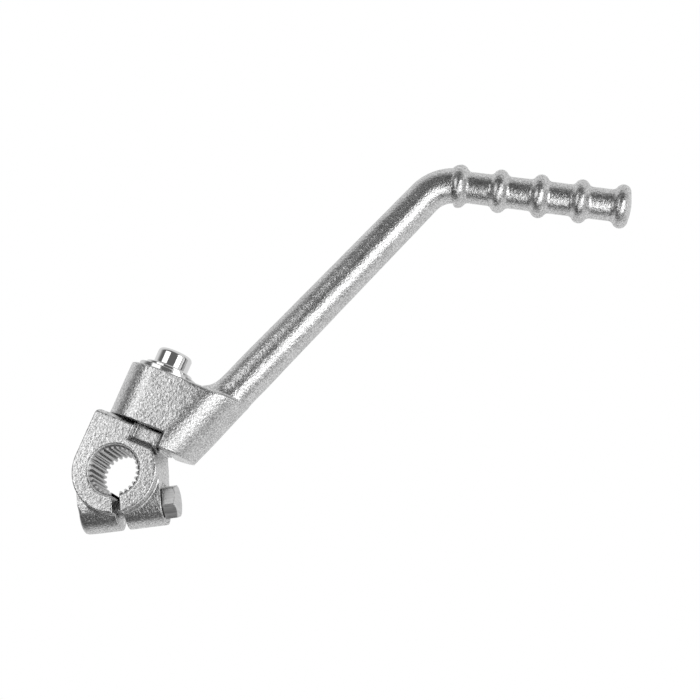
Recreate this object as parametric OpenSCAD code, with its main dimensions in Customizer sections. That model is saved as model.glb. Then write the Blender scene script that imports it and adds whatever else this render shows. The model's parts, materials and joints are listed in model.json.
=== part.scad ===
// Folding kick start lever for a small motorbike.
// X runs along the lever's reach, Y along the splined bore and away from the
// outer side, Z up. The origin is the middle of the splined bore, and the
// clamp slit points down.

/* [Splined bore] */
// Diameter over the roots of the serrations
spline_root_d = 20; // [18:0.5:22]
// Diameter over the tips of the serrations
spline_tip_d = 17.3; // [16:0.1:18]
// Number of serrations
spline_teeth = 28; // [20:2:36]
// Share of the pitch that a tooth's flat tip takes
tip_land = 0.36; // [0.3:0.02:0.45]
// Share of the pitch that the floor between two teeth takes
root_land = 0.22; // [0.15:0.01:0.35]
// Chamfer at both mouths of the bore
mouth_chamfer = 0.6; // [0.2:0.1:1]

/* [Clamp hub] */
// Width of the hub along the bore
hub_w = 22; // [20:0.5:26]
// Outer diameter of the clamp ring
ring_d = 33.4; // [31:0.2:36]
// Height of the hub's flat deck above the bore, along the pivot
deck_u = 20.3; // [19:0.1:21]
// Radius of the outer corner of the deck
deck_corner_r = 2; // [1:0.1:4]
// Bevel along the outer edge of the deck
deck_edge = 1.4; // [0.5:0.1:2]
// Depth of the skirt's pocket behind the outer face
pocket_depth = 4.7; // [3:0.1:6]
// Fall of the pocket's floor towards the outer face
pocket_fall = 2; // [1:0.1:3]
// Width of the clamp slit
slit_w = 3; // [2:0.1:4]
// Radius of the two ears about the pinch bolt
ear_r = 8.7; // [8:0.1:9.5]
// Length across both ears
ear_span = 33; // [30:0.5:34]

/* [Pinch bolt] */
// Thread diameter of the pinch bolt
pinch_d = 8; // [7:1:8]
// Width across the flats of its head
pinch_flats = 12; // [11:1:13]
// Height of its head
pinch_head_h = 6; // [5:0.1:7]
// Depth of the spot face under the head
spot_depth = 1; // [0.6:0.1:1.6]

/* [Pivot] */
// Lean of the fold pivot away from Z, towards +X
pivot_lean = 28.5; // [20:0.5:35]
// Diameter of the post that the lever turns on
post_d = 13; // [12:0.1:14]
// Diameter of the thrust collar at the foot of the post
collar_d = 16.4; // [15:0.1:18]
// Gap between the deck and the lever, which the collar fills
deck_gap = 0.5; // [0.4:0.1:1.5]
// Running clearance on the radius between post and lever
run_clear = 0.05; // [0.03:0.01:0.08]
// End play of the lever under the washer
end_play = 0.1; // [0.08:0.01:0.2]

/* [Pivot bolt and washer] */
// Thread diameter of the pivot bolt
bolt_d = 8; // [6:1:8]
// Length of its shank under the flange
bolt_len = 24; // [18:1:26]
// Diameter of its round head
cap_d = 14.2; // [13:0.1:16]
// Height of its round head above the flange
cap_h = 7; // [6:0.1:9]
// Radius of the head's rounded top edge
cap_edge_r = 1.8; // [1:0.1:2.4]
// Diameter of the flange
flange_d = 19.4; // [18:0.1:21]
// Thickness of the flange
flange_h = 1.4; // [1:0.1:2]
// Diameter of the washer
washer_d = 24; // [22:0.1:26]
// Thickness of the washer
washer_h = 2; // [1.5:0.1:2.5]
// Width across the flats of the drive socket
socket_flats = 6; // [5:1:6]
// Depth of the drive socket
socket_depth = 4; // [3:0.1:5]

/* [Detent] */
// Diameter of the detent ball
ball_d = 5; // [4:0.5:5.5]
// Radius of the ball's track about the pivot
track_r = 11.3; // [11:0.1:11.6]
// How deep the track is cut into the underside of the lever
track_depth = 0.9; // [0.6:0.1:1.2]
// Length of the pressed spring under the ball
spring_len = 6; // [5:0.1:6.5]
// Diameter of the spring's wire
wire_d = 0.6; // [0.4:0.1:0.7]
// Turns of the spring
spring_turns = 5; // [4:1:7]

/* [Lever boss] */
// Height of the barrel from its underside to its flat top
barrel_h = 22; // [20:0.1:24]
// Radius of the barrel and of the flank behind the bar
boss_r = 14.6; // [14:0.1:15.4]
// Distance from the pivot to the inner face of the skirt
skirt_in = 13; // [12.8:0.1:13]
// Depth of the skirt below the barrel
skirt_drop = 6.2; // [5:0.1:6.5]
// Clearance between the skirt and the faces that stop it
seat_clear = 0.05; // [0.04:0.01:0.1]
// Fillet where the bar leaves the boss
root_fillet_r = 9; // [6:0.5:10]

/* [Bar] */
// Angle between the bar and the pivot
bar_angle = 21.7; // [18:0.1:26]
// Distance of the elbow from the bore, across the pivot
elbow_p = 72.1; // [60:0.1:85]
// Distance of the elbow from the bore, along the pivot
elbow_u = 156; // [130:0.5:170]
// Radius of the bar where it leaves the boss
bar_root_r = 8.2; // [7.5:0.05:9]
// Radius of the bar at the elbow
bar_tip_r = 7.05; // [6.5:0.05:8]
// Radius of the bend, on the bar's centre line
bend_r = 15; // [13:0.5:18]

/* [Foot peg] */
// Angle between the peg and the pivot
peg_angle = 77.9; // [70:0.1:85]
// Distance from the elbow to the first ring
first_ring = 8.8; // [8:0.1:11]
// Spacing of the rings
ring_pitch = 16.2; // [14:0.1:18]
// Number of rings before the end bead
ring_count = 4; // [3:1:5]
// Radius of the plain peg
peg_r = 6.35; // [5.5:0.05:7]
// Radius over a ring
ring_r = 8.75; // [8:0.05:9.5]
// Radius of a ring's rounded crest
crest_r = 3.1; // [2.5:0.1:3.5]
// Radius of the fillet at a ring's foot
foot_fillet_r = 2; // [1.5:0.1:3]
// Height of the domed end
end_dome_h = 0.6; // [0.3:0.1:1]

/* [Hidden] */
$fn = 96;

// Radial clearance of a close hole, how far a cutter overshoots, and a length
// beyond the hub and the boss
slip = 0.05;
over = 1;
far = 60;

// Hub
hub_front = -hub_w / 2;
hub_rear = hub_w / 2;
ring_rad = ring_d / 2;
ear_y = hub_rear - ear_r;

// Stop faces: the pivot is as far from the outer face as from the face inside the
// skirt, so that the skirt lands flat on one with the lever in and on the other
// with it out
seat_p = skirt_in - seat_clear;
pivot_y = hub_front + seat_p;
lever_u = deck_u + deck_gap;
skirt_u = lever_u - skirt_drop;
ledge_gap = 0.4;
ledge_u = skirt_u - ledge_gap;
pocket_y = hub_front + pocket_depth;
pocket_rise = 0.6;
pocket_inner_u = ledge_u + pocket_rise;
pocket_outer_u = pocket_inner_u - pocket_fall;

// Serrations
root_r = spline_root_d / 2;
tip_r = spline_tip_d / 2;
tooth_pitch = 360 / spline_teeth;
mouth_r = root_r + mouth_chamfer / 2;
mouth_depth = 1.5 * mouth_chamfer;

// Pinch bolt: it passes just under the shaft
shaft_clear = 0.12;
pinch_drop = tip_r + pinch_d / 2 + shaft_clear;
pinch_slip = 0.2;
pinch_corners = pinch_flats * 2 / sqrt(3);
pinch_turn = 8;
pinch_inset = 1.5;
ear_x = ear_span / 2;
spot_slack = 1;
spot_d = pinch_corners + 2 * spot_slack;
pinch_seat_x = ear_x - spot_depth;
pinch_tip_x = pinch_inset - ear_x;

// Pivot stack, measured along the pivot from the bore
barrel_top_u = lever_u + barrel_h;
washer_u = barrel_top_u + end_play;
flange_u = washer_u + washer_h;
cap_u = flange_u + flange_h;
tap_runout = 2;
tap_depth = bolt_len - washer_h + tap_runout;
washer_slack = 0.4;
washer_bore_d = bolt_d + 2 * washer_slack;

// Detent
ball_r = ball_d / 2;
ball_u = lever_u + track_depth - ball_r - slip;
spring_u = ball_u - ball_r - spring_len;
spring_r = ball_r - wire_d;
fold_travel = 90;

// Boss and bar, in the plane of the lever
bar_dir = [sin(bar_angle), cos(bar_angle)];
bar_side = [cos(bar_angle), -sin(bar_angle)];
elbow = [elbow_p, elbow_u];
bend_turn = peg_angle - bar_angle;
bend_reach = bend_r * tan(bend_turn / 2);
bend_lap = 0.5;
bend_proud = 0.05;
bar_root = (elbow_u - barrel_top_u) / cos(bar_angle);
bar_start = bar_root + bar_root_r;
flank_proud = 0.06;
flank_shift = boss_r - bar_root_r - flank_proud;
flank_foot = elbow - bar_start * bar_dir - flank_shift * bar_side;
root_reach = root_fillet_r * tan((90 - bar_angle) / 2);

// Foot peg
peg_end = first_ring + ring_count * ring_pitch;
crest_x = ring_r - crest_r;
fillet_x = peg_r + foot_fillet_r;
foot_z = sqrt(pow(crest_r + foot_fillet_r, 2) - pow(fillet_x - crest_x, 2));
blend = crest_r / (crest_r + foot_fillet_r);
blend_x = crest_x + blend * (fillet_x - crest_x);
blend_z = blend * foot_z;
dome_r = (pow(crest_x, 2) + pow(end_dome_h, 2)) / (2 * end_dome_h);

// Places children in the pivot's frame: Z along the pivot, X across it
module pivot_frame() {
    translate([0, pivot_y, 0])
        rotate([0, pivot_lean, 0])
            children();
}

// Extrudes a plan drawn in the lever's plane from y0 to y1
module plate(y0, y1) {
    translate([0, y1, 0])
        rotate([90, 0, 0])
            linear_extrude(y1 - y0)
                children();
}

// A cylinder along X from x0 to x1 on the pinch bolt's axis
module pinch_cylinder(d, x0, x1, sides = 96) {
    translate([x0, ear_y, -pinch_drop])
        rotate([0, 90, 0])
            cylinder(d = d, h = x1 - x0, $fn = sides);
}

// Serrations
module spline_outline() {
    tip_gap = PI * spline_tip_d / spline_teeth * (1 - tip_land);
    root_gap = PI * spline_root_d / spline_teeth * root_land;
    flare = over * (tip_gap - root_gap) / (root_r - tip_r);
    mouth = (tip_gap + flare) / 2;
    circle(r = tip_r);
    intersection() {
        circle(r = root_r);
        for (i = [0 : spline_teeth - 1])
            rotate((i + 0.5) * tooth_pitch)
                polygon([
                    [tip_r - over, -mouth],
                    [root_r + slip, -root_gap / 2],
                    [root_r + slip, root_gap / 2],
                    [tip_r - over, mouth]
                ]);
    }
}

module spline_bore() {
    plate(hub_front - over, hub_rear + over)
        spline_outline();
    for (side = [0, 1])
        mirror([0, side, 0])
            translate([0, hub_front, 0])
                rotate([-90, 0, 0])
                    translate([0, 0, -over])
                        cylinder(r1 = mouth_r + over, r2 = mouth_r - mouth_depth, h = over + mouth_depth);
}

// Hub head: flat deck, rounded corner, the face that the skirt seats on and an
// upright flank under it
module head_plan() {
    flank_p = (ring_rad - ledge_u * sin(pivot_lean)) / cos(pivot_lean);
    difference() {
        polygon([
            [-ring_rad, 0],
            [-ring_rad, deck_u],
            [seat_p, deck_u],
            [seat_p, ledge_u],
            [flank_p, ledge_u],
            ring_rad * [cos(pivot_lean), sin(pivot_lean)],
            [0, 0]
        ]);
        difference() {
            translate([-ring_rad - over, deck_u - deck_corner_r])
                square(deck_corner_r + over);
            translate([deck_corner_r - ring_rad, deck_u - deck_corner_r])
                circle(r = deck_corner_r);
        }
    }
}

// Pocket at the outer side that lets the skirt swing out, with a sloping floor,
// and the bevel along the outer edge of the deck
module outer_cuts() {
    front = hub_front - pivot_y;
    rotate([90, 0, 90])
        linear_extrude(far)
            polygon([
                [front - over, pocket_outer_u],
                [front, pocket_outer_u],
                [pocket_y - pivot_y, pocket_inner_u],
                [pocket_y - pivot_y, deck_u + over],
                [front - over, deck_u + over]
            ]);
    translate([-far, 0, 0])
        rotate([90, 0, 90])
            linear_extrude(2 * far)
                polygon([
                    [front - over, deck_u - deck_edge - over],
                    [front - over, deck_u + over],
                    [front + deck_edge + over, deck_u + over]
                ]);
}

// Rounds the head about the pivot where the skirt sweeps past
module swing_relief() {
    difference() {
        translate([0, -far, ledge_u])
            cube([far, far, deck_u - ledge_u + over]);
        translate([0, 0, ledge_u - over])
            cylinder(r = seat_p, h = far, $fn = 180);
    }
}

module hub_body() {
    difference() {
        union() {
            plate(hub_front, hub_rear)
                circle(r = ring_rad, $fn = 180);
            pivot_frame() {
                plate(hub_front - pivot_y, pocket_y - pivot_y + over)
                    intersection() {
                        head_plan();
                        translate([-far, 0])
                            square([far + over, far]);
                    }
                plate(pocket_y - pivot_y, hub_rear - pivot_y)
                    head_plan();
            }
        }
        pivot_frame() {
            outer_cuts();
            swing_relief();
        }
    }
    pinch_cylinder(2 * ear_r, -ear_x, ear_x);
    translate([-ear_x, ear_y - ear_r, -pinch_drop])
        cube([ear_span, 2 * ear_r, pinch_drop]);
}

module pivot_post() {
    translate([0, 0, deck_u - over])
        cylinder(d = collar_d, h = deck_gap + over);
    translate([0, 0, deck_u - over])
        cylinder(d = post_d, h = washer_u - deck_u + over);
}

// Clamp hub with its splined bore, pinch ears, skirt pocket and pivot post
module clamp_hub() {
    color("silver")
    difference() {
        union() {
            hub_body();
            pivot_frame()
                pivot_post();
        }
        spline_bore();
        translate([-slit_w / 2, -far / 2, -far])
            cube([slit_w, far, far - tip_r + over]);
        pinch_cylinder(pinch_d + 2 * pinch_slip, 0, ear_x + over);
        pinch_cylinder(pinch_d + 2 * slip, -ear_x - over, 0);
        pinch_cylinder(spot_d, pinch_seat_x, ear_x + far);
        pivot_frame() {
            translate([0, 0, washer_u - tap_depth])
                cylinder(d = bolt_d + 2 * slip, h = tap_depth + over);
            translate([-track_r, 0, spring_u])
                cylinder(d = ball_d + 2 * slip, h = deck_u - spring_u + over);
        }
    }
}

// Round flank of the boss, along the lower side of the bar
module flank() {
    translate([flank_foot[0], 0, flank_foot[1]])
        rotate([0, bar_angle, 0])
            translate([0, 0, -far])
                cylinder(r = boss_r, h = 2 * far, $fn = 180);
}

// Lever boss: barrel and slanted flank with a flat web between them
module boss_body() {
    plan_top = barrel_top_u + over;
    plan_low = skirt_u - over;
    flank_p = function(u) flank_foot[0] + (u - flank_foot[1]) * tan(bar_angle);
    intersection() {
        union() {
            cylinder(r = boss_r, h = far, $fn = 180);
            flank();
            plate(-boss_r, boss_r)
                polygon([
                    [0, plan_low],
                    [0, plan_top],
                    [flank_p(plan_top), plan_top],
                    [flank_p(plan_low), plan_low]
                ]);
        }
        translate([-far, -far, skirt_u])
            cube([2 * far, 2 * far, barrel_top_u - skirt_u]);
    }
}

// Concave fillet where the bar rises out of the flat top, kept inside the flank
module root_fillet() {
    start = root_reach - bar_root_r * tan(bar_angle);
    intersection() {
        translate([elbow_p, 0, elbow_u])
            rotate([0, bar_angle, 0])
                translate([0, 0, -bar_root])
                    rotate_extrude()
                        difference() {
                            translate([0, start - root_fillet_r])
                                square([bar_root_r + root_fillet_r * (1 - sin(bar_angle)), root_fillet_r]);
                            translate([bar_root_r + root_fillet_r, start])
                                circle(r = root_fillet_r, $fn = 120);
                        }
        flank();
    }
}

module bar() {
    translate([elbow_p, 0, elbow_u])
        rotate([0, bar_angle, 0])
            translate([0, 0, -bar_start])
                cylinder(r1 = bar_root_r, r2 = bar_tip_r, h = bar_start - bend_reach + bend_lap);
}

module bend() {
    centre = elbow - bend_reach * bar_dir + bend_r * bar_side;
    translate([centre[0], 0, centre[1]])
        rotate([90, 0, 0])
            rotate([0, 0, 180 - peg_angle])
                rotate_extrude(angle = bend_turn, $fn = 180)
                    translate([bend_r, 0])
                        circle(r = bar_tip_r + bend_proud, $fn = 96);
}

// Half section of one ring, with a fillet at each foot
module ring_section() {
    translate([crest_x, 0])
        circle(r = crest_r, $fn = 64);
    difference() {
        polygon([
            [0, -foot_z], [peg_r, -foot_z], [blend_x, -blend_z],
            [blend_x, blend_z], [peg_r, foot_z], [0, foot_z]
        ]);
        for (side = [-1, 1])
            translate([fillet_x, side * foot_z])
                circle(r = foot_fillet_r, $fn = 64);
    }
}

// The end bead is the inner half of a ring, closed by a low dome
module peg_section() {
    translate([0, bend_reach])
        square([peg_r, peg_end - bend_reach]);
    for (i = [0 : ring_count - 1])
        translate([0, first_ring + i * ring_pitch])
            ring_section();
    intersection() {
        translate([0, peg_end])
            ring_section();
        square([far, peg_end]);
    }
    translate([crest_x, peg_end])
        circle(r = crest_r, $fn = 64);
    intersection() {
        translate([0, peg_end + crest_r + end_dome_h - dome_r])
            circle(r = dome_r, $fn = 360);
        translate([0, peg_end - over])
            square([crest_x, over + crest_r + end_dome_h]);
    }
}

module foot_peg() {
    translate([elbow_p, 0, elbow_u])
        rotate([0, peg_angle, 0]) {
            rotate_extrude($fn = 96)
                peg_section();
            translate([0, 0, bend_reach - bend_lap])
                cylinder(r1 = bar_tip_r, r2 = peg_r, h = first_ring - bend_reach + bend_lap + blend_z);
        }
}

// Track for the detent ball, in the underside of the barrel
module ball_track() {
    lead = asin(ball_r / track_r);
    translate([0, 0, ball_u])
        rotate([0, 0, 180 - lead])
            rotate_extrude(angle = fold_travel + 2 * lead, $fn = 180)
                translate([track_r, 0])
                    circle(r = ball_r + slip, $fn = 64);
}

// Lever: barrel boss, skirt, tapering bar, bend and ringed foot peg in one forging
module lever_arm() {
    color("lightgray")
    pivot_frame()
        difference() {
            union() {
                boss_body();
                root_fillet();
                bar();
                bend();
                foot_peg();
            }
            translate([-far, -far, skirt_u - over])
                cube([far + skirt_in, 2 * far, skirt_drop + over]);
            translate([0, 0, lever_u - over])
                cylinder(d = post_d + 2 * run_clear, h = barrel_h + 2 * over);
            ball_track();
        }
}

// Pivot bolt with a smooth round head, flange and hex drive socket
module pivot_bolt() {
    color("whitesmoke")
    pivot_frame()
        difference() {
            union() {
                translate([0, 0, flange_u - bolt_len])
                    cylinder(d = bolt_d, h = bolt_len + over / 2);
                translate([0, 0, flange_u])
                    cylinder(d = flange_d, h = flange_h);
                translate([0, 0, cap_u])
                    rotate_extrude() {
                        square([cap_d / 2, cap_h - cap_edge_r]);
                        square([cap_d / 2 - cap_edge_r, cap_h]);
                        translate([cap_d / 2 - cap_edge_r, cap_h - cap_edge_r])
                            circle(r = cap_edge_r, $fn = 64);
                    }
            }
            translate([0, 0, cap_u + cap_h - socket_depth])
                cylinder(d = socket_flats * 2 / sqrt(3), h = socket_depth + over, $fn = 6);
        }
}

module pivot_washer() {
    color("gainsboro")
    pivot_frame()
        translate([0, 0, washer_u])
            difference() {
                cylinder(d = washer_d, h = washer_h);
                translate([0, 0, -over])
                    cylinder(d = washer_bore_d, h = washer_h + 2 * over);
            }
}

module detent_ball() {
    color("lightsteelblue")
    pivot_frame()
        translate([-track_r, 0, ball_u])
            sphere(r = ball_r, $fn = 64);
}

// Coil spring: a tube swept along a helix, with one ring of points a step
function coil_ring(i, steps, sides) =
    let (turn = 360 * spring_turns * i / steps,
         rise = wire_d / 2 + (spring_len - wire_d) * i / steps)
    [for (j = [0 : sides - 1])
        let (around = 360 * j / sides,
             reach = spring_r + wire_d / 2 * cos(around))
        [reach * cos(turn), reach * sin(turn), rise + wire_d / 2 * sin(around)]];

module detent_spring() {
    sides = 8;
    steps = 14 * spring_turns;
    rings = [for (i = [0 : steps]) each coil_ring(i, steps, sides)];
    walls = [for (i = [0 : steps - 1], j = [0 : sides - 1])
        [i * sides + j, i * sides + (j + 1) % sides,
         (i + 1) * sides + (j + 1) % sides, (i + 1) * sides + j]];
    low_cap = [for (j = [0 : sides - 1]) sides - 1 - j];
    high_cap = [for (j = [0 : sides - 1]) steps * sides + j];
    color("darkgray")
    pivot_frame()
        translate([-track_r, 0, spring_u])
            polyhedron(points = rings, faces = concat([low_cap], walls, [high_cap]), convexity = 8);
}

module pinch_bolt() {
    color("silver") {
        pinch_cylinder(pinch_d, pinch_tip_x, pinch_seat_x + over);
        translate([pinch_seat_x, ear_y, -pinch_drop])
            rotate([pinch_turn, 0, 0])
                rotate([0, 90, 0])
                    cylinder(d = pinch_corners, h = pinch_head_h, $fn = 6);
    }
}

clamp_hub();
lever_arm();
pivot_bolt();
pivot_washer();
detent_ball();
detent_spring();
pinch_bolt();
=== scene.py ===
# %% [markdown]
# # A folding kick start lever
# A kick start lever has two halves. A short clamp with a serrated bore grips the
# kick shaft, and a long forged arm folds out of the clamp on a pivot bolt, so that
# the ringed peg can be put away. Clamp and arm are cast and forged steel under
# bright zinc, and only the pivot bolt is polished.
# The CAD model already holds every solid at its real size. This lesson puts the
# skin on it: soft cast edges, sand grain, broached serrations, rolled threads, and
# the studio light that makes plain grey metal readable.

import itertools
import json

import bmesh
import bpy
import numpy as np
from mathutils import Matrix


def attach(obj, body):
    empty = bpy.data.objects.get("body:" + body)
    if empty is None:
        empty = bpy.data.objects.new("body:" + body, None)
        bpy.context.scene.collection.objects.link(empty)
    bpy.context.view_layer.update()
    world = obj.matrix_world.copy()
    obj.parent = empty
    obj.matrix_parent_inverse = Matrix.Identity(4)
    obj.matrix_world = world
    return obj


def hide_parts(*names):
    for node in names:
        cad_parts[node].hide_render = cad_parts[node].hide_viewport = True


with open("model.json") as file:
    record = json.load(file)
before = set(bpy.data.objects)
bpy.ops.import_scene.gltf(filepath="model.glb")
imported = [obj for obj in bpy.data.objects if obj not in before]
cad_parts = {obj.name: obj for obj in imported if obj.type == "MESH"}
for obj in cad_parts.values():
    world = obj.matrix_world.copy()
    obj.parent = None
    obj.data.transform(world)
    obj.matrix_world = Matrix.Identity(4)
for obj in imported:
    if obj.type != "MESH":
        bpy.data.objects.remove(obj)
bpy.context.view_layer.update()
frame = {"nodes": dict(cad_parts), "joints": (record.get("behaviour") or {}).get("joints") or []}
MM = 0.001

# %% [markdown]
# ## The pivot's own axes
# The arm turns about a bolt that leans out of the vertical, so most shapes are
# easier to write down along that bolt. The hinge of the CAD model says where the
# bolt is. Three unit vectors, across the bolt, along the shaft and up the bolt, turn
# points into its axes and back with one matrix product.

# %% Pivot axes
fold = next(joint for joint in frame["joints"] if joint["name"] == "lever_fold")
bolt_up = -np.array(fold["axis"])
pivot_axes = np.array([[bolt_up[2], 0, -bolt_up[0]], [0, 1, 0], bolt_up])
pivot_foot = np.array([0, fold["pos_m"][1], 0])


def to_pivot(points):
    """Points of the row frame as (across, along the shaft, up the bolt)."""
    return (points - pivot_foot) @ pivot_axes.T


def from_pivot(points):
    """The way back from the bolt's axes to the row frame."""
    return points @ pivot_axes + pivot_foot


arm_low = float(to_pivot(np.array(fold["pos_m"]))[2] / MM)
print("underside of the arm, up the bolt:", round(arm_low, 2), "mm")

# %% [markdown]
# ## Meshes from arrays
# A turned or swept piece is a table of points: each row is a ring, and the rows
# follow a profile. Numpy works the whole table out at once, and one function
# strings the points together. A row whose points all fall together closes a pole
# once its doubles are merged, and then the normals are turned outwards.

# %% Mesh helpers
def weld(mesh, reach=2e-6, outwards=True):
    """Merges corners closer than reach, and turns the faces outwards."""
    tidy = bmesh.new()
    tidy.from_mesh(mesh)
    bmesh.ops.remove_doubles(tidy, verts=tidy.verts, dist=reach)
    if outwards:
        bmesh.ops.recalc_face_normals(tidy, faces=tidy.faces)
    tidy.to_mesh(mesh)
    tidy.free()


def grid_quads(rows, columns, ring_rows=False, ring_columns=True):
    """Four corner numbers a face for a table of points, closed where asked."""
    row, column = np.meshgrid(
        np.arange(rows - (not ring_rows)),
        np.arange(columns - (not ring_columns)),
        indexing="ij",
    )
    below, beside = (row + 1) % rows, (column + 1) % columns
    corners = [
        row * columns + column,
        row * columns + beside,
        below * columns + beside,
        below * columns + column,
    ]
    return np.stack(corners, axis=-1).reshape(-1, 4)


def new_piece(name, points, faces):
    """An object at the origin whose mesh has these points, in metres."""
    mesh = bpy.data.meshes.new(name)
    mesh.from_pydata(points.reshape(-1, 3).tolist(), [], faces)
    weld(mesh)
    mesh.shade_smooth()
    piece = bpy.data.objects.new(name, mesh)
    bpy.context.scene.collection.objects.link(piece)
    return piece


def turned(name, radius, height, turn, place):
    """Rings of the given radius and height, in mm, put into the row frame by place."""
    points = np.stack(
        [
            radius * np.cos(turn),
            radius * np.sin(turn),
            np.broadcast_to(height, radius.shape),
        ],
        axis=-1,
    )
    rows, columns = radius.shape
    faces = grid_quads(rows, columns).tolist()
    return new_piece(name, place(points.reshape(-1, 3) * MM), faces)


def edge_on(piece, degrees=38):
    """Keeps creases sharper than this angle crisp, and shades the rest smooth."""
    with bpy.context.temp_override(object=piece, selected_editable_objects=[piece]):
        bpy.ops.object.shade_smooth_by_angle(angle=np.radians(degrees))


def full_turn(columns):
    """Even angles once round, as a row."""
    return np.linspace(0, 2 * np.pi, columns, endpoint=False)[None, :]


# %% [markdown]
# ## Noise on points
# Cast and plated skin is never even. The same noise is wanted on mesh points, where
# it moves the surface itself. Random numbers stand at the corners of a lattice of
# cubes, and each point blends the eight corners about it with smooth weights.

# %% Lattice noise
def lattice_noise(points, cell, seed):
    """Smooth noise from -1 to 1 with features as long as cell, in the points' unit.

    Each point takes the sum of its cube's eight corner numbers, and a corner's
    weight is the product of the faded shares along the three axes.
    """
    size = 48
    table = np.random.default_rng(seed).uniform(-1, 1, (size, size, size))
    place = points / cell
    corner = np.floor(place).astype(int)
    share = place - corner
    share = share * share * (3 - 2 * share)
    total = np.zeros(len(points))
    for step in itertools.product((0, 1), repeat=3):
        weight = np.prod(np.where(step, share, 1 - share), axis=1)
        x, y, z = ((corner + step) % size).T
        total += weight * table[x, y, z]
    return total


# %% [markdown]
# ## Shared finishes as node groups
# Two effects return in several materials, so each is a node group with named
# inputs. Sand grain is the print of the mould: grains of about half a millimetre,
# and rounder ones of twice that, under the plating. Tool lines are what a lathe, a
# broach or a drawing die leaves: fine lines round an axis or along it.

# %% Node helpers
def add_node(tree, kind, **settings):
    """A node of that kind with its properties and its input values set."""
    node = tree.nodes.new(kind)
    for name, value in settings.items():
        if hasattr(node, name):
            setattr(node, name, value)
        else:
            node.inputs[name.replace("_", " ")].default_value = value
    return node


def math_node(tree, operation, first, second):
    """One sum on two values, each of which is a number or a socket."""
    node = tree.nodes.new("ShaderNodeMath")
    node.operation = operation
    for socket, value in zip(node.inputs, (first, second)):
        if isinstance(value, (int, float)):
            socket.default_value = value
        else:
            tree.links.new(value, socket)
    return node.outputs[0]


def add_share(tree, base, value, share):
    """base + value * share, where each is a number or a socket."""
    return math_node(tree, "ADD", base, math_node(tree, "MULTIPLY", value, share))


def new_group(name, inputs, outputs):
    """An empty shader group with number inputs and outputs, and its two ends."""
    group = bpy.data.node_groups.new(name, "ShaderNodeTree")
    add_socket, kind = group.interface.new_socket, "NodeSocketFloat"
    for label, value in inputs.items():
        add_socket(label, in_out="INPUT", socket_type=kind).default_value = value
    for label in outputs:
        add_socket(label, in_out="OUTPUT", socket_type=kind)
    return group, group.nodes.new("NodeGroupInput"), group.nodes.new("NodeGroupOutput")


# %% Sand grain group
SLOW_SCALE = 140.0
COARSE_SCALE, COARSE_HEIGHT = 0.55, 0.6
SLOW_TONE, FINE_TONE = 0.4, 2.4


def sand_grain_group():
    """Height of grains in two sizes, and roughness and tone that wander slowly."""
    group, given, made = new_group(
        "Sand grain",
        {"Grains a metre": 1500.0, "Roughness": 0.3, "Spread": 0.1},
        ["Height", "Roughness", "Tone"],
    )
    place = add_node(group, "ShaderNodeTexCoord").outputs["Object"]
    fine = add_node(group, "ShaderNodeTexNoise", Detail=3.0, Roughness=0.6)
    coarse = add_node(group, "ShaderNodeTexVoronoi", feature="SMOOTH_F1")
    slow = add_node(group, "ShaderNodeTexNoise", Scale=SLOW_SCALE, Detail=2.0)
    for node in (fine, coarse, slow):
        group.links.new(place, node.inputs["Vector"])
    grains = given.outputs["Grains a metre"]
    group.links.new(grains, fine.inputs["Scale"])
    coarse_scale = math_node(group, "MULTIPLY", grains, COARSE_SCALE)
    group.links.new(coarse_scale, coarse.inputs["Scale"])
    height = add_share(
        group, fine.outputs["Fac"], coarse.outputs["Distance"], COARSE_HEIGHT
    )
    sway = math_node(group, "SUBTRACT", slow.outputs["Fac"], 0.5)
    rough = add_share(
        group, given.outputs["Roughness"], sway, given.outputs["Spread"]
    )
    speck = math_node(group, "SUBTRACT", fine.outputs["Fac"], 0.5)
    slow_tone = math_node(group, "MULTIPLY", sway, SLOW_TONE)
    tone = add_share(group, slow_tone, speck, FINE_TONE)
    group.links.new(height, made.inputs["Height"])
    group.links.new(rough, made.inputs["Roughness"])
    group.links.new(math_node(group, "ADD", tone, 0.5), made.inputs["Tone"])
    return group


# %% Tool line group
LINE_STRETCH = 0.06


def tool_line_group():
    """Fine lines from noise that is stretched square to the pivot bolt."""
    group, given, made = new_group(
        "Tool lines",
        {"Lines a metre": 4000.0, "Roughness": 0.2, "Spread": 0.1},
        ["Height", "Roughness"],
    )
    place = add_node(group, "ShaderNodeTexCoord").outputs["Object"]
    lean = np.arctan2(bolt_up[0], bolt_up[2])
    stretch = add_node(group, "ShaderNodeMapping")
    stretch.inputs["Rotation"].default_value = (0, -lean, 0)
    stretch.inputs["Scale"].default_value = (LINE_STRETCH, LINE_STRETCH, 1)
    group.links.new(place, stretch.inputs["Vector"])
    lines = add_node(group, "ShaderNodeTexNoise", Detail=2.0)
    group.links.new(stretch.outputs["Vector"], lines.inputs["Vector"])
    group.links.new(given.outputs["Lines a metre"], lines.inputs["Scale"])
    sway = math_node(group, "SUBTRACT", lines.outputs["Fac"], 0.5)
    rough = add_share(
        group, given.outputs["Roughness"], sway, given.outputs["Spread"]
    )
    group.links.new(lines.outputs["Fac"], made.inputs["Height"])
    group.links.new(rough, made.inputs["Roughness"])
    return group


sand_grain = sand_grain_group()
tool_lines = tool_line_group()
print("node groups:", sand_grain.name, "and", tool_lines.name)


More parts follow.
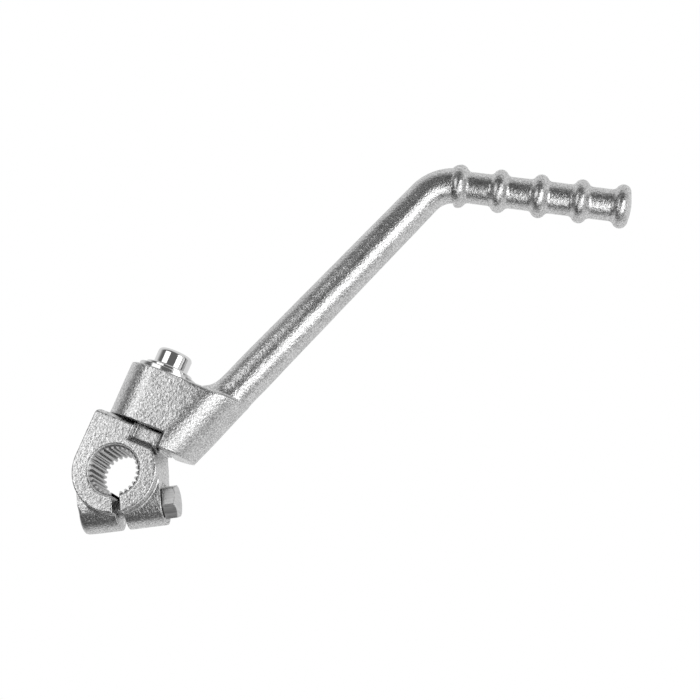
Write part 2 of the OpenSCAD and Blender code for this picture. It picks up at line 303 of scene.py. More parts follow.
# %% Bare metal material
def metal(name, group, values, depth, dark, light):
    """A metal whose group gives height and roughness, and tone between two greys.

    The group's height moves the normal by as much as depth, in mm.
    """
    material = bpy.data.materials.new(name)
    material.use_nodes = True
    tree = material.node_tree
    shader = tree.nodes["Principled BSDF"]
    shader.inputs["Metallic"].default_value = 1.0
    effect = tree.nodes.new("ShaderNodeGroup")
    effect.node_tree = group
    for label, value in values.items():
        effect.inputs[label].default_value = value
    bump = add_node(tree, "ShaderNodeBump", Distance=depth * MM)
    tree.links.new(effect.outputs["Height"], bump.inputs["Height"])
    tree.links.new(bump.outputs["Normal"], shader.inputs["Normal"])
    tree.links.new(effect.outputs["Roughness"], shader.inputs["Roughness"])
    colour = add_node(tree, "ShaderNodeMix", data_type="RGBA")
    colour.inputs["A"].default_value = (*dark, 1)
    colour.inputs["B"].default_value = (*light, 1)
    mask = effect.outputs.get("Tone") or effect.outputs["Height"]
    tree.links.new(mask, colour.inputs["Factor"])
    tree.links.new(colour.outputs["Result"], shader.inputs["Base Color"])
    return material


# %% [markdown]
# ## Soft castings
# A casting has no sharp edge anywhere. Bevelling a mesh full of cut-outs would have
# to fight its thin triangles, so the clamp and the arm go another way: the copy of
# the CAD solid is rebuilt from even cells, and relaxing those cells rounds every
# edge by the same small radius. The CAD node itself stays untouched underneath.

# %% Soft copy of a CAD solid
def add_modifier(piece, kind, **settings):
    """Puts a modifier on the piece with these settings."""
    modifier = piece.modifiers.new(kind.title(), kind)
    for name, value in settings.items():
        setattr(modifier, name, value)


def settle(piece):
    """Turns the piece with its modifiers into a plain mesh."""
    bpy.context.view_layer.update()
    graph = bpy.context.evaluated_depsgraph_get()
    done = bpy.data.meshes.new_from_object(piece.evaluated_get(graph))
    piece.modifiers.clear()
    piece.data = done


def soft_copy(node, name, cell, rounds, cutter=None):
    """The CAD solid, less the cutter, in cells of that size, relaxed that often."""
    mesh = frame["nodes"][node].data.copy()
    mesh.materials.clear()
    weld(mesh, outwards=False)
    piece = bpy.data.objects.new(name, mesh)
    bpy.context.scene.collection.objects.link(piece)
    if cutter:
        cut = {"operation": "DIFFERENCE", "object": cutter, "solver": "EXACT"}
        add_modifier(piece, "BOOLEAN", **cut)
        settle(piece)
        bpy.data.objects.remove(cutter)
    add_modifier(piece, "REMESH", mode="VOXEL", voxel_size=cell * MM)
    add_modifier(piece, "SMOOTH", factor=0.5, iterations=rounds)
    settle(piece)
    piece.data.shade_smooth()
    return piece


def points_of(piece):
    """The piece's points in metres, and the outward direction at each."""
    count = len(piece.data.vertices)
    points, normals = np.empty(count * 3), np.empty(count * 3)
    piece.data.vertices.foreach_get("co", points)
    piece.data.vertices.foreach_get("normal", normals)
    return points.reshape(-1, 3), normals.reshape(-1, 3)


def push_out(piece, points, normals, amount):
    """Moves every point along its normal by amount, in mm."""
    moved = points + normals * amount[:, None] * MM
    piece.data.vertices.foreach_set("co", moved.astype(np.float32).ravel())
    piece.data.update()


def relax(piece, name, weight, rounds):
    """Smooths the piece that often where weight says so, in steps of a tenth."""
    group = piece.vertex_groups.new(name=name)
    for share in np.linspace(0.1, 1, 10):
        found = np.flatnonzero((weight > share - 0.1) & (weight <= share))
        group.add(found.tolist(), float(share), "REPLACE")
    add_modifier(piece, "SMOOTH", factor=0.5, iterations=rounds, vertex_group=name)
    settle(piece)


def fade(value, start, end):
    """0 before start and 1 after end; between them 3 s^2 - 2 s^3 of the share s."""
    share = np.clip((value - start) / (end - start), 0, 1)
    return share * share * (3 - 2 * share)


def skin(points, grain, wave):
    """Cast skin in mm: grains of two sizes, and slow waves where the mould gave."""
    at = points / MM
    fine = 0.8 * lattice_noise(at, 0.7, 1) + 0.3 * lattice_noise(at, 1.5, 2)
    return grain * fine + wave * lattice_noise(at, 7, 3)


def pits(points, centres, radius, depth):
    """Gas pits in mm: minus depth times e to the minus (distance / radius) squared."""
    at = points[:, None, :] / MM - np.array(centres)[None]
    return -depth * np.exp(-(at**2).sum(-1) / radius**2).sum(1)


# %% [markdown]
# ## Clamp hub
# The hub is one casting: ring, head with its flat deck, stop pocket, two ears with
# the slit, and the pivot post inside the arm. The serrations are finer than the
# cells, so a plain drill first takes them out of the copy, and they come back as a
# piece of their own. Machined faces stay flat: a mask keeps the grain off them.
# The free ear is rounder than the rest, and the hole under the detent ball is
# opened a little, because the relaxed cells would touch the ball.

# %% Hub casting
HUB_W, HUB_CELL = 22.0, 0.335
BORE_ROOT, BORE_TIP, TEETH = 10.0, 8.65, 28
DECK_U, LEDGE_U, POCKET_Y = 20.3, 14.2, -6.3
BALL_P, BALL_HOLE_R, BALL_ROOM = 11.3, 3.0, 0.15
SLIT_HALF, PINCH_HEAD_X = 1.5, 15.5
PINCH_AXIS = np.array([0, 2.3, -12.77])
HUB_GRAIN, HUB_WAVE = 0.02, 0.05


def along_shaft(points):
    """Turned pieces stand on Z; this lays them along the shaft, front end first."""
    x, y, z = points.T
    return np.stack([x, z, -y], axis=-1)


def drill(radius, length):
    """A plain cylinder about the bore, as a cutter."""
    stations = np.array([-length, -length, length, length])[:, None] / 2
    radii = np.array([0, radius, radius, 0.0])[:, None] + 0 * full_turn(160)
    return turned("drill", radii, stations, full_turn(160), along_shaft)


def round_ear_end(piece, rounds=160):
    """Relaxes the free end of the left ear, which the casting leaves well rounded."""
    points, _ = points_of(piece)
    x, y, z = (points / MM).T
    hole = fade(np.hypot(y - PINCH_AXIS[1], z - PINCH_AXIS[2]), 4.6, 6)
    weight = fade(-x, 10.5, 13) * fade(-z, 11, 14) * hole
    relax(piece, "ear end", weight, rounds)


def hub_casting():
    """Soft hub with grain on its cast faces only, and room about the ball."""
    cutter = drill(BORE_ROOT + 0.2, 2 * HUB_W)
    piece = soft_copy("clamp_hub", "hub_casting", HUB_CELL, 4, cutter)
    round_ear_end(piece)
    points, normals = points_of(piece)
    x, y, z = (points / MM).T
    across, shaft, up = (to_pivot(points) / MM).T
    # Each mask is 0 on its machined face and 1 a little away from it.
    bore = fade(np.hypot(x, z), BORE_ROOT + 0.8, BORE_ROOT + 1.4)
    deck = 1 - fade(up, DECK_U - 0.6, DECK_U - 0.2)
    in_pocket = fade(across, -0.5, 0) * (y < POCKET_Y + 0.4)
    pocket = 1 - fade(up, LEDGE_U - 2, LEDGE_U - 1) * in_pocket
    slit = fade(np.abs(x), SLIT_HALF + 0.2, SLIT_HALF + 0.6)
    spot_face = 1 - fade(x, PINCH_HEAD_X - 0.9, PINCH_HEAD_X - 0.3) * (z < -6)
    below = 0.35 + 0.65 * fade(z, -17, -15)
    cast = bore * deck * (0.15 + 0.85 * pocket) * slit * spot_face * below
    from_ball = np.hypot(across + BALL_P, shaft)
    ball_hole = 1 - fade(from_ball, BALL_HOLE_R, BALL_HOLE_R + 0.6)
    ball_hole *= fade(up, 9.5, 10.5)
    widening = BALL_ROOM * ball_hole * (1 - fade(up, DECK_U - 0.4, DECK_U - 0.1))
    grain = skin(points, HUB_GRAIN, HUB_WAVE) * cast * (1 - ball_hole)
    push_out(piece, points, normals, grain - widening)
    return piece


hub = hub_casting()
print("hub casting:", len(hub.data.polygons), "faces")

# %% [markdown]
# ## Serrated bore
# A broach cuts 28 serrations through the bore. Round the bore the wall is a function
# of the angle: flat tip, straight flank, flat root, once a tooth. At both mouths a
# cone cuts the teeth back. The table of points runs from one lip of the slit round
# to the other, and its rows go down the bore and back outside, inside the casting.

# %% Serrated sleeve
ROOT_SHARE, TIP_SHARE = 0.095, 0.32


def serration(turn):
    """Radius of the broached wall, in mm; the angle 0 is the middle of a tip.

    On a flank it goes evenly from the root's radius to the tip's, with the share of
    a tooth gone since the middle of the root.
    """
    from_root = np.abs((turn * TEETH / (2 * np.pi)) % 1 - 0.5)
    slope = (from_root - ROOT_SHARE) / (TIP_SHARE - ROOT_SHARE)
    return BORE_ROOT + (BORE_TIP - BORE_ROOT) * np.clip(slope, 0, 1)


def serrated_sleeve():
    """The wall of the bore between the lips of the slit, as a closed shell."""
    outer, inset, mouth, cone = 10.7, 0.2, 10.3, 0.9
    depth = [inset, 0.35, 0.5, 0.7, cone, cone + 0.03, 1.3, 3, 6, 9, HUB_W / 2]
    depth = np.concatenate([depth, HUB_W - np.array(depth[-2::-1])])
    from_mouth = np.minimum(depth, HUB_W - depth)
    turn = np.linspace(-np.pi / 2, 1.5 * np.pi, TEETH * 24 + 1)[None, :]
    wall = serration(turn)
    cut = np.where(from_mouth <= cone, mouth - from_mouth, 0)[:, None]
    inner = np.maximum(wall, cut)
    radius = np.vstack([0 * turn + outer, inner, 0 * turn + outer])
    station = np.concatenate([[inset], depth, [HUB_W - inset]])[:, None] - HUB_W / 2
    lip = np.arcsin((SLIT_HALF + 0.05) / radius)
    held = np.clip(turn, -np.pi / 2 + lip, 1.5 * np.pi - lip)
    points = np.stack(
        [radius * np.cos(held), station + 0 * radius, radius * np.sin(held)], axis=-1
    )
    rows, columns = radius.shape
    faces = grid_quads(rows, columns, ring_rows=True, ring_columns=False).tolist()
    first = [row * columns for row in range(rows)]
    faces += [first, [corner + columns - 1 for corner in first[::-1]]]
    piece = new_piece("serrated_sleeve", points * MM, faces)
    edge_on(piece, 30)
    return piece


sleeve = serrated_sleeve()
print("serrations:", TEETH, "of", round(BORE_ROOT - BORE_TIP, 2), "mm")

# %% [markdown]
# ## Lever boss
# Barrel, skirt, bar, bend and peg are one forging. The barrel with its skirt is made
# as the hub was, from a soft copy of the CAD solid. Its bar is cut off square a short
# way up, because round bars are better swept. Machined faces stay flat. Three touches
# make the barrel run out into the bar as a forging does: the shoulder above it is
# relaxed, the corner beside the bar is filled with a bell, and the flank loses what
# stands past the bar's own radius.

# %% Boss forging
BARREL_H, ARM_CELL = 22.0, 0.3
BARREL_TOP = arm_low + BARREL_H
ELBOW = np.array([72.1, 0, 156.0])
BAR_ANGLE, PEG_ANGLE = np.radians([21.7, 77.9])
BAR_CUT, BAR_ROOT_R = 107.8, 8.2
FLANK_R, FLANK_SHIFT = 14.6, 6.34
ROOT_CORNER = np.array([16.8, 0, BARREL_TOP + 1.2])
ROOT_FILL, FLANK_TRIM = 0.9, 0.45
ARM_GRAIN, ARM_WAVE = 0.018, 0.06


def heading(angle):
    """Direction in the arm's plane at that angle from the pivot bolt."""
    angle = np.asarray(angle)
    return np.stack([np.sin(angle), 0 * angle, np.cos(angle)], axis=-1)


def beside(angle):
    """Direction in the arm's plane square to heading, on its lower side."""
    angle = np.asarray(angle)
    return np.stack([np.cos(angle), 0 * angle, -np.sin(angle)], axis=-1)


def on_cut(points):
    """Turned pieces stand on Z; this stands them on the cut, along the bar."""
    axes = np.stack([beside(BAR_ANGLE), [0, 1, 0], heading(BAR_ANGLE)])
    foot = ELBOW - BAR_CUT * heading(BAR_ANGLE)
    return from_pivot(points @ axes + foot * MM)


def past_the_cut():
    """A wide cylinder along the bar, from the cut outwards, as a cutter."""
    turn = full_turn(64)
    radii = np.array([0, 100, 100, 0.0])[:, None] + 0 * turn
    stations = np.array([0, 0, 200, 200.0])[:, None]
    return turned("past_the_cut", radii, stations, turn, on_cut)


def soften_shoulder(piece, rounds=160):
    """Relaxes the top edge where the barrel runs out into the bar, and nothing else.

    The weight is the product of how deep a point lies in the flank's cylinder, how
    near the barrel's top, how far before the cut and how far across the bolt.
    """
    points, _ = points_of(piece)
    local = to_pivot(points) / MM
    across, shaft, up = local.T
    off = local - ELBOW
    flank_off = off @ beside(BAR_ANGLE) + FLANK_SHIFT
    gone = off @ heading(BAR_ANGLE) + BAR_CUT
    inside = np.sqrt(np.maximum(FLANK_R**2 - flank_off**2, 0)) - np.abs(shaft)
    step = fade(FLANK_R - np.abs(flank_off), 0.8, 3.5) + fade(inside, 0.6, 1.5)
    near = fade(up, BARREL_TOP - 8, BARREL_TOP - 3) * (1 - fade(gone, -6, -2))
    weight = np.clip(step, 0, 1) * near * fade(across, 11, 18)
    relax(piece, "shoulder", weight, rounds)


def boss_forging():
    """Soft barrel and skirt with grain on their forged faces only."""
    piece = soft_copy("lever_arm", "boss_forging", ARM_CELL, 7, past_the_cut())
    soften_shoulder(piece)
    points, normals = points_of(piece)
    local = to_pivot(points) / MM
    across, shaft, up = local.T
    bore = fade(np.hypot(across, shaft), 6.8, 7.4)
    flat_top = 1 - fade(up, BARREL_TOP - 0.5, BARREL_TOP - 0.1) * (across < 14)
    underside = fade(up, arm_low + 0.1, arm_low + 0.5) + (across > 13.2)
    forged = bore * flat_top * np.minimum(underside, 1)
    # The corner gains a bell of metal, and the flank loses its excess radius.
    from_corner = (local - ROOT_CORNER) ** 2 / np.array([16, 60, 16])
    fill = ROOT_FILL * np.exp(-from_corner.sum(1)) * fade(across, 12.3, 15.5)
    outward = (normals @ pivot_axes.T) @ beside(BAR_ANGLE)
    gone = (local - ELBOW) @ heading(BAR_ANGLE) + BAR_CUT
    excess = np.hypot((local - ELBOW) @ beside(BAR_ANGLE), shaft) - BAR_ROOT_R
    trim = np.clip(excess, 0, FLANK_TRIM) * fade(outward, 0.2, 0.8)
    trim *= fade(gone, -34, -8)
    grain = skin(points, ARM_GRAIN, ARM_WAVE) * forged
    push_out(piece, points, normals, grain + fill - trim)
    return piece


boss = boss_forging()
print("boss forging:", len(boss.data.polygons), "faces")

# %% [markdown]
# ## Bar, bend and ringed peg
# The rest of the forging is a circle carried along a path: a straight run, an arc and
# another straight run. Its radius is a function of the distance gone: a slow taper,
# then the plain peg with a ring every 16.2 mm. A ring is a round crest between two
# hollow fillets, and the last one ends in a low dome. The two halves of the die meet
# in the arm's middle plane and leave a low trimmed seam there.

# %% Path and radius
BEND_R = 15.0
BEND_REACH = BEND_R * np.tan((PEG_ANGLE - BAR_ANGLE) / 2)
BEND_L = BEND_R * (PEG_ANGLE - BAR_ANGLE)
BAR_TIP_R, PEG_R = 7.1, 6.35
TAPER_START, TAPER_END = -122.0, 0.5
CREST_OFF, CREST_R, FOOT_OFF, FOOT_R = 5.65, 3.1, 8.35, 2.0
FIRST_RING, RING_PITCH, RINGS = 8.8, 16.2, 5
RING_AT = BEND_L - BEND_REACH + FIRST_RING + RING_PITCH * np.arange(RINGS)
SEAM_H, SEAM_W = 0.1, 0.4
PIT_PLACES = [[72.6, -5.4, 72.4], [94.1, -5.2, 94.6]]


def path_angle(gone):
    """Angle of the path from the pivot bolt, at that distance past the bend's start."""
    return BAR_ANGLE + np.clip(gone, 0, BEND_L) / BEND_R


def path(gone):
    """Centre of the bar: an arc, with a straight run before it and after it."""
    centre = ELBOW - BEND_REACH * heading(BAR_ANGLE) + BEND_R * beside(BAR_ANGLE)
    arc_point = centre - BEND_R * beside(path_angle(gone))
    before = np.minimum(gone, 0)[:, None] * heading(BAR_ANGLE)
    after = np.maximum(gone - BEND_L, 0)[:, None] * heading(PEG_ANGLE)
    return arc_point + before + after


def ring_radius(off):
    """Radius at a distance from a ring's middle: crest, hollow foot, plain peg.

    Crest and foot are circles that touch, so the distance between their centres is
    the sum of their radii, and they swap at the crest's share of it.
    """
    off = np.abs(off)
    foot = np.sqrt((CREST_R + FOOT_R) ** 2 - (FOOT_OFF - CREST_OFF) ** 2)
    crest = CREST_OFF + np.sqrt(np.maximum(CREST_R**2 - off**2, 0))
    hollow = FOOT_OFF - np.sqrt(np.maximum(FOOT_R**2 - (foot - off) ** 2, 0))
    swap = foot * CREST_R / (CREST_R + FOOT_R)
    return np.where(off < swap, crest, np.where(off < foot, hollow, PEG_R))


def bar_radius(gone):
    """Taper of the bar, then a short cone to the peg, with the rings on top."""
    taper = np.interp(gone, [TAPER_START, TAPER_END], [BAR_ROOT_R, BAR_TIP_R])
    cone = np.interp(gone, [BEND_L, RING_AT[0]], [BAR_TIP_R, PEG_R])
    rings = ring_radius(gone[:, None] - RING_AT).max(axis=1)
    return np.maximum(np.where(gone < BEND_L, taper, cone), rings)


# %% Sweep the bar
def bar_and_peg(step=0.4, columns=120, overlap=3, sink=0.08):
    """Rings along the path from inside the boss to the dome, with grain and seam."""
    start = BEND_REACH - BAR_CUT - overlap
    gone = np.arange(start, RING_AT[-1], step)
    bulge = np.radians(np.linspace(0, 90, 13))
    dome = np.linspace(1, 0, 10)[1:]
    radius = np.concatenate(
        [bar_radius(gone), CREST_OFF + CREST_R * np.cos(bulge), CREST_OFF * dome]
    )
    crest = RING_AT[-1] + CREST_R * np.sin(bulge)
    cap = RING_AT[-1] + CREST_R + 0.6 * (1 - dome**2)
    gone = np.concatenate([gone, crest, cap])
    radius -= sink * (1 - fade(gone, start + 0.4, start + 2))
    turn = full_turn(columns)[..., None]
    side = beside(path_angle(gone))[:, None]
    spoke = np.cos(turn) * side + np.sin(turn) * np.array([0, 1, 0])
    points = path(gone)[:, None] + radius[:, None, None] * spoke
    faces = grid_quads(len(gone), columns).tolist() + [list(range(columns))]
    piece = new_piece("bar_and_peg", from_pivot(points.reshape(-1, 3) * MM), faces)
    points, normals = points_of(piece)
    off = to_pivot(points) / MM - ELBOW
    off_axis = np.hypot(off @ beside(PEG_ANGLE), off[:, 1])
    on_peg = fade(off @ heading(PEG_ANGLE), 2, 6)
    plain = 1 - 0.6 * on_peg * fade(off_axis, PEG_R + 0.35, PEG_R + 1.25)
    seam = SEAM_H * np.exp(-((off[:, 1] / SEAM_W) ** 2)) * plain
    grain = skin(points, ARM_GRAIN, ARM_WAVE) * plain
    gas = pits(points, PIT_PLACES, radius=0.5, depth=0.25)
    push_out(piece, points, normals, grain + seam + gas)
    return piece


bar = bar_and_peg()
print("bar and peg:", len(bar.data.polygons), "faces")
print("rings past the bend's start:", np.round(RING_AT, 1).tolist(), "mm")

# %% [markdown]
# ## Pivot bolt and washer
# The bolt is a smooth round cap on a flange, polished all over, with a hex drive in
# its top. It is turned from a profile, and the last rows pass from a circle to a
# hexagon: the distance to a flat is the half width over the cosine of the angle from
# that flat's middle. Small arcs at each edge catch the light.

# %% Hexagon and arcs
def hexagon(turn, flats):
    """Radius of a hexagon that measures flats across, at each angle."""
    sector = np.pi / 3
    return flats / 2 / np.cos((turn + sector / 2) % sector - sector / 2)


def arc(centre, radius, start, end, steps=7):
    """Points of an arc in (radius, height), with angles in degrees."""
    angle = np.radians(np.linspace(start, end, steps))
    spokes = np.stack([np.cos(angle), np.sin(angle)], axis=-1)
    return np.array(centre) + radius * spokes


def on_bolt(height):
    """Puts turned pieces on the pivot, with their foot at that height up the bolt."""
    return lambda points: from_pivot(points + np.array([0, 0, height * MM]))


# %% Polished pivot bolt
CAP_R, CAP_H, CAP_EDGE = 7.1, 7.0, 1.8
FLANGE_R, FLANGE_H, SHANK_R, SHANK_L = 9.7, 1.4, 3.95, 24.0
SOCKET, SOCKET_DEPTH = 6.0, 4.0
WASHER_GAP, WASHER_H = 0.1, 2.0
flange_u = BARREL_TOP + WASHER_GAP + WASHER_H


def pivot_bolt():
    """Shank, flange, cap and socket in one profile, with its foot at the flange."""
    top = FLANGE_H + CAP_H
    profile = np.vstack(
        [
            [[0, -SHANK_L], [SHANK_R - 0.6, -SHANK_L], [SHANK_R, 0.6 - SHANK_L]],
            [[SHANK_R, -0.3], [SHANK_R + 0.4, 0]],
            arc((FLANGE_R - 0.35, 0.35), 0.35, -90, 0, 6),
            arc((FLANGE_R - 0.5, FLANGE_H - 0.5), 0.5, 0, 90, 6),
            arc((CAP_R + 0.7, FLANGE_H + 0.7), 0.7, 270, 180, 8),
            arc((CAP_R - CAP_EDGE, top - CAP_EDGE), CAP_EDGE, 0, 90, 14),
        ]
    )
    turn = full_turn(144)
    lathe = profile[:, :1] + 0 * turn
    hex_wall = hexagon(turn, SOCKET)
    corner = SOCKET / np.sqrt(3)
    socket = [
        (corner + 0.5 + 0 * turn, top),
        (corner + 0.3 + 0 * turn, top - 0.03),
        (corner + 0.05 + 0 * turn, top - 0.25),
        (hex_wall, top - 0.35),
        (hex_wall, top - SOCKET_DEPTH),
        (0 * turn, top - SOCKET_DEPTH - 0.9),
    ]
    radius = np.vstack([lathe] + [ring for ring, _ in socket])
    height = np.concatenate([profile[:, 1], [level for _, level in socket]])[:, None]
    piece = turned("polished_pivot_bolt", radius, height, turn, on_bolt(flange_u))
    edge_on(piece, 50)
    return piece


bolt = pivot_bolt()
print("pivot bolt: cap", 2 * CAP_R, "mm, flange", 2 * FLANGE_R, "mm")

# %% Turned washer
def washer(outer=12.0, inner=4.4, edge=0.35, inner_edge=0.2):
    """A ring whose four edges are small arcs; its profile closes on itself."""
    profile = np.vstack(
        [
            arc((outer - edge, edge), edge, -90, 0, 5),
            arc((outer - edge, WASHER_H - edge), edge, 0, 90, 5),
            arc((inner + inner_edge, WASHER_H - inner_edge), inner_edge, 90, 180, 4),
            arc((inner + inner_edge, inner_edge), inner_edge, 180, 270, 4),
        ]
    )
    turn = full_turn(144)
    points = np.stack(
        [
            profile[:, :1] * np.cos(turn),
            profile[:, :1] * np.sin(turn),
            profile[:, 1:] + 0 * turn,
        ],
        axis=-1,
    )
    faces = grid_quads(len(profile), turn.size, ring_rows=True).tolist()
    place = on_bolt(BARREL_TOP + WASHER_GAP)
    piece = new_piece("turned_washer", place(points.reshape(-1, 3) * MM), faces)
    edge_on(piece, 50)
    return piece


ring_washer = washer()
print("washer:", len(ring_washer.data.polygons), "faces")

# %% [markdown]
# ## Pinch bolt
# A cold-headed hex bolt: six flats, a 30 degree chamfer that turns the corners into
# arcs, a narrow neck under the head whose faces carry painted shade for the dark gap
# there, and a rolled thread. The thread is one more function of angle and length:
# the depth follows a rounded triangle wave that advances by one pitch a turn.

# %% Hex bolt with a rolled thread
PINCH_TIP_X, PINCH_SHANK_R = -15.0, 3.98
PINCH_FLATS, PINCH_HEAD_H, PINCH_TURN = 12.0, 6.0, np.radians(-16)
PINCH_NECK, PINCH_NECK_R = 0.92, 5.6


def on_pinch_axis(points):
    """Turned pieces stand on Z; this lays them along X on the pinch bolt's axis."""
    x, y, z = points.T
    return np.stack([z, y, -x], axis=-1) + PINCH_AXIS * MM


def thread_depth(height, turn, pitch=1.25, depth=0.62):
    """Depth of the thread below the bolt's surface, one pitch a turn.

    The phase is height over pitch less the share of a turn. A triangle wave of it,
    cut off flat at both ends, gives crest, flank and root.
    """
    phase = (height / pitch - turn / (2 * np.pi)) % 1
    wave = np.clip(1.25 - 2.5 * np.abs(phase - 0.5), 0, 1)
    runs = fade(height, PINCH_TIP_X, PINCH_TIP_X + 1.2) * (1 - fade(height, 4, 5.5))
    return depth * (1 - wave) * runs


def pinch_bolt():
    """Thread, shank, neck and chamfered hex head, from tip to top."""
    turn = full_turn(120)
    top = PINCH_HEAD_X + PINCH_HEAD_H
    shank = np.linspace(PINCH_TIP_X + 0.5, PINCH_HEAD_X, 300)[:, None]
    body = PINCH_SHANK_R - thread_depth(shank, turn)
    six = hexagon(turn + PINCH_TURN, PINCH_FLATS)
    level = np.array([0.85, 0.95, 1.05, 1.4, 3.2, 4.6, 5.0, 5.3, 5.55, 5.75, 5.9, 6.0])
    cone = (6.05 + (PINCH_HEAD_H - level) * np.sqrt(3))[:, None]
    under = (5.7 + (level - level[0]) * 9)[:, None]
    head = np.minimum(np.minimum(six, cone), under)
    ring = 0 * turn
    neck = ring + PINCH_NECK_R
    radius = np.vstack(
        [ring, ring + 3.4, body, neck, neck, head, ring + 5.75, ring + 5.5, ring]
    )
    height = np.concatenate(
        [
            [PINCH_TIP_X, PINCH_TIP_X],
            shank[:, 0],
            [PINCH_HEAD_X, PINCH_HEAD_X + 0.8],
            PINCH_HEAD_X + level,
            [top, top, top],
        ]
    )[:, None]
    piece = turned("hex_pinch_bolt", radius, height, turn, on_pinch_axis)
    edge_on(piece, 35)
    return piece


pinch = pinch_bolt()
print("pinch bolt:", round(PINCH_HEAD_X - PINCH_TIP_X, 1), "mm under the head")

# %% [markdown]
# ## Finishes
# Hub and arm share the bright zinc over sand grain, with the arm a touch lighter.
# The bore is broached and has no plating, so it is darker and its lines run along
# the shaft. The pivot bolt is a mirror. Washer, pinch bolt, ball and spring are
# turned or drawn and keep their tool lines. The neck under the pinch bolt's head is
# painted near black: painted shade for the gap under the head.

# %% Materials
def cast_zinc(name, tone):
    """Bright zinc over sand grain."""
    dark, light = [(tone * share,) * 3 for share in (0.4, 1.4)]
    values = {"Grains a metre": 1700.0, "Roughness": 0.21, "Spread": 0.16}
    return metal(name, sand_grain, values, 0.15, dark, light)


def lined_steel(name, lines, rough, spread, depth, dark, light):
    """Steel that keeps the lines of the tool that cut or drew it."""
    values = {"Lines a metre": lines, "Roughness": rough, "Spread": spread}
    return metal(name, tool_lines, values, depth, (dark,) * 3, (light,) * 3)


hub_zinc = cast_zinc("cast_steel", 0.66)
arm_zinc = cast_zinc("cast_steel_arm", 0.68)
broached = lined_steel("broached_bore", 3000.0, 0.36, 0.2, 0.03, 0.36, 0.56)
mirror = lined_steel("polished_bolt", 2500.0, 0.07, 0.05, 0.002, 0.7, 0.8)
turned_zinc = lined_steel("bright_washer", 5000.0, 0.16, 0.12, 0.006, 0.62, 0.76)
satin_zinc = lined_steel("zinc_bolt", 1800.0, 0.38, 0.3, 0.05, 0.3, 0.9)
# Painted shade: a near-black steel for the neck under the pinch bolt's head, in place of the
# shade in the gap there.
neck_shade_paint = lined_steel("neck_shade_paint", 3000.0, 0.6, 0.1, 0.01, 0.02, 0.05)
ball_steel = lined_steel("ball_steel", 3000.0, 0.12, 0.05, 0.002, 0.66, 0.76)
spring_steel = lined_steel("spring_steel", 6000.0, 0.3, 0.2, 0.01, 0.3, 0.45)
print("materials:", len(bpy.data.materials))


# %% Dress the pieces
def dress(piece, material, body=None, nodes=()):
    """Gives a piece its material and slot, and ties a new piece to its body."""
    piece.data.materials.clear()
    piece.data.materials.append(material)
    if body:
        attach(piece, body)
    if nodes:
        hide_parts(*nodes)


def paint_neck_shade(piece, material):
    """Painted shade under the bolt head: faces between spot face and head turn near black."""
    centres = np.empty(len(piece.data.polygons) * 3)
    piece.data.polygons.foreach_get("center", centres)
    gone = centres[::3] / MM - PINCH_HEAD_X
    piece.data.materials.append(material)
    inside = (gone > -0.5) & (gone < PINCH_NECK)
    # The neck's faces take the near-black painted shade material.
    piece.data.polygons.foreach_set("material_index", inside.astype(np.int32))


dress(hub, hub_zinc, "hub", ["clamp_hub"])
dress(sleeve, broached, "hub")
dress(boss, arm_zinc, "lever", ["lever_arm"])
dress(bar, arm_zinc, "lever")
dress(bolt, mirror, "hub", ["pivot_bolt"])
dress(ring_washer, turned_zinc, "hub", ["pivot_washer"])
dress(pinch, satin_zinc, "hub", ["pinch_bolt"])
# Paints shade onto the neck under the pinch bolt's head.
paint_neck_shade(pinch, neck_shade_paint)
dress(frame["nodes"]["detent_ball"], ball_steel)
dress(frame["nodes"]["detent_spring"], spring_steel)

# %% [markdown]
# ## Camera
# The photograph looks at the lever from its outer side, a little from below. Two
# directions are enough for a camera: where it looks and what is right. The third
# follows from them.

# %% Camera
EYE = np.array([0.1444, -0.5486, -0.1177])
ahead = np.array([-0.0863, 0.958, 0.2717])
ahead /= np.linalg.norm(ahead)
right = np.array([0.9871, 0.119, -0.1064])
right -= ahead * (right @ ahead)
right /= np.linalg.norm(right)
image_up = np.cross(right, ahead)


def frame_matrix(x_axis, y_axis, z_axis, place):
    """A 4 x 4 matrix from three directions and a place."""
    matrix = np.eye(4)
    matrix[:3] = np.stack([x_axis, y_axis, z_axis, place], axis=1)
    return Matrix(matrix.tolist())


lens = bpy.data.cameras.new("camera")
lens.lens = 74.83
lens.sensor_width = 36
camera = bpy.data.objects.new("camera", lens)
bpy.context.scene.collection.objects.link(camera)
camera.matrix_world = frame_matrix(right, image_up, -ahead, EYE)
bpy.context.scene.camera = camera
print("camera:", round(float(np.linalg.norm(EYE)), 2), "m from the bore's middle")

# %% [markdown]
# ## Studio
# Polished metal shows what stands round it. Three soft boxes stand close by, one at
# the left, one at the right and one low in front, and the camera doesn't see them.
# They give the white bands on the bar and the stripes on the cap. The room between
# them stays dark, and the backdrop behind the lever is white, which gives every edge
# its pale rim.

# %% Soft boxes
STAGE_CENTRE = np.array([0.05, 0.0, 0.05])


def soft_box(name, aside, lift, width, height, radiance, distance=0.36):
    """A lamp seen from the lever at these angles from the camera, in degrees.

    Width and height are angles too. Its power is radiance times pi times its area.
    """
    aside, lift = np.radians([aside, lift])
    out = np.cos(lift) * (np.sin(aside) * right - np.cos(aside) * ahead)
    out = out + np.sin(lift) * image_up
    level = np.cross(image_up, out)
    level /= np.linalg.norm(level)
    data = bpy.data.lights.new(name, "AREA")
    data.shape = "RECTANGLE"
    data.size = 2 * distance * np.tan(np.radians(width / 2))
    data.size_y = 2 * distance * np.tan(np.radians(height / 2))
    data.energy = radiance * np.pi * data.size * data.size_y
    lamp = bpy.data.objects.new(name, data)
    bpy.context.scene.collection.objects.link(lamp)
    lamp.visible_camera = False
    place = STAGE_CENTRE + distance * out
    lamp.matrix_world = frame_matrix(level, np.cross(out, level), out, place)


soft_box("left_box", -45, 20, 36, 48, 1.5)
soft_box("right_box", 41, 4, 28, 40, 2.6)
soft_box("low_box", 13, -21, 32, 46, 1.5)
print("soft boxes:", len(bpy.data.lights))


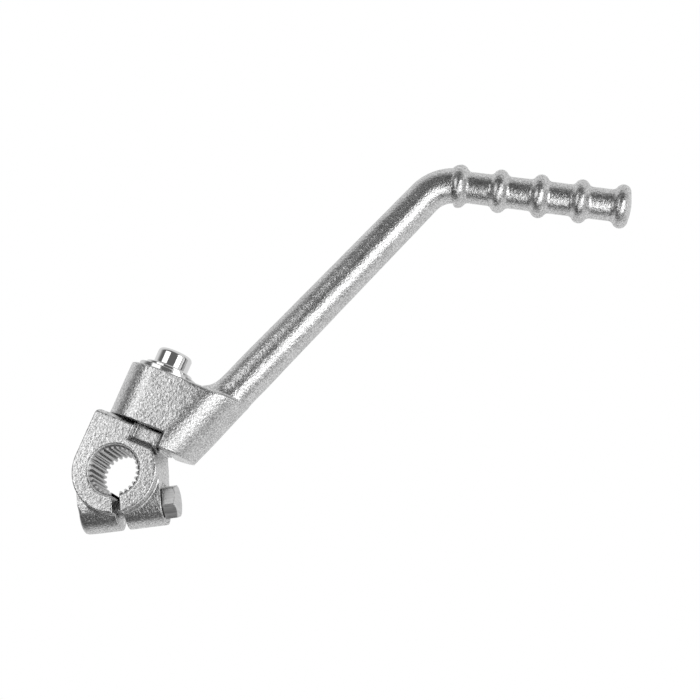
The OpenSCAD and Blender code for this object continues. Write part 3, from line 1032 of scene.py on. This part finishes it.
# %% White room
def room():
    """White to the camera; to the metal a bright backdrop and a dark front."""
    bright_side = ahead + 0.47 * right
    edges = {"From Min": -0.38, "From Max": 0.15, "To Min": 0.15, "To Max": 0.84}
    world = bpy.data.worlds.new("room")
    bpy.context.scene.world = world
    world.use_nodes = True
    tree = world.node_tree
    tree.nodes.clear()
    outlook = add_node(tree, "ShaderNodeTexCoord").outputs["Generated"]
    depth = add_node(tree, "ShaderNodeVectorMath", operation="DOT_PRODUCT")
    depth.inputs[1].default_value = bright_side / np.linalg.norm(bright_side)
    tree.links.new(outlook, depth.inputs[0])
    ramp = tree.nodes.new("ShaderNodeMapRange")
    ramp.interpolation_type = "SMOOTHSTEP"
    for label, value in edges.items():
        ramp.inputs[label].default_value = value
    tree.links.new(depth.outputs["Value"], ramp.inputs["Value"])
    rays = tree.nodes.new("ShaderNodeLightPath").outputs["Is Camera Ray"]
    strength = math_node(tree, "MAXIMUM", ramp.outputs["Result"], rays)
    light = add_node(tree, "ShaderNodeBackground", Color=(1, 1, 1, 1))
    tree.links.new(strength, light.inputs["Strength"])
    out = tree.nodes.new("ShaderNodeOutputWorld")
    tree.links.new(light.outputs["Background"], out.inputs["Surface"])


# %% Pale floor
def pale_floor(depth=-0.35, reach=4.0, own_light=0.75):
    """A large pale sheet with a soft shadow, which the metal looks straight through."""
    side = np.array([[-1, -1, 0], [1, -1, 0], [1, 1, 0], [-1, 1, 0]]) * reach
    floor = new_piece("floor", side + np.array([0, 0, depth]), [[0, 1, 2, 3]])
    material = bpy.data.materials.new("floor")
    material.use_nodes = True
    tree = material.node_tree
    shader = tree.nodes["Principled BSDF"]
    shader.inputs["Base Color"].default_value = (0.8, 0.8, 0.8, 1)
    shader.inputs["Roughness"].default_value = 0.9
    glow = add_node(tree, "ShaderNodeEmission", Color=(1, 1, 1, 1), Strength=1.0)
    open_air = tree.nodes.new("ShaderNodeBsdfTransparent")
    rays = tree.nodes.new("ShaderNodeLightPath").outputs
    pale, gone = (tree.nodes.new("ShaderNodeMixShader") for _ in range(2))
    seen = math_node(tree, "MULTIPLY", rays["Is Camera Ray"], own_light)
    tree.links.new(seen, pale.inputs["Fac"])
    tree.links.new(shader.outputs["BSDF"], pale.inputs[1])
    tree.links.new(glow.outputs["Emission"], pale.inputs[2])
    tree.links.new(rays["Is Glossy Ray"], gone.inputs["Fac"])
    tree.links.new(pale.outputs["Shader"], gone.inputs[1])
    tree.links.new(open_air.outputs["BSDF"], gone.inputs[2])
    surface = tree.nodes["Material Output"].inputs["Surface"]
    tree.links.new(gone.outputs["Shader"], surface)
    floor.data.materials.append(material)


room()
pale_floor()
bpy.context.scene.view_settings.view_transform = "Standard"
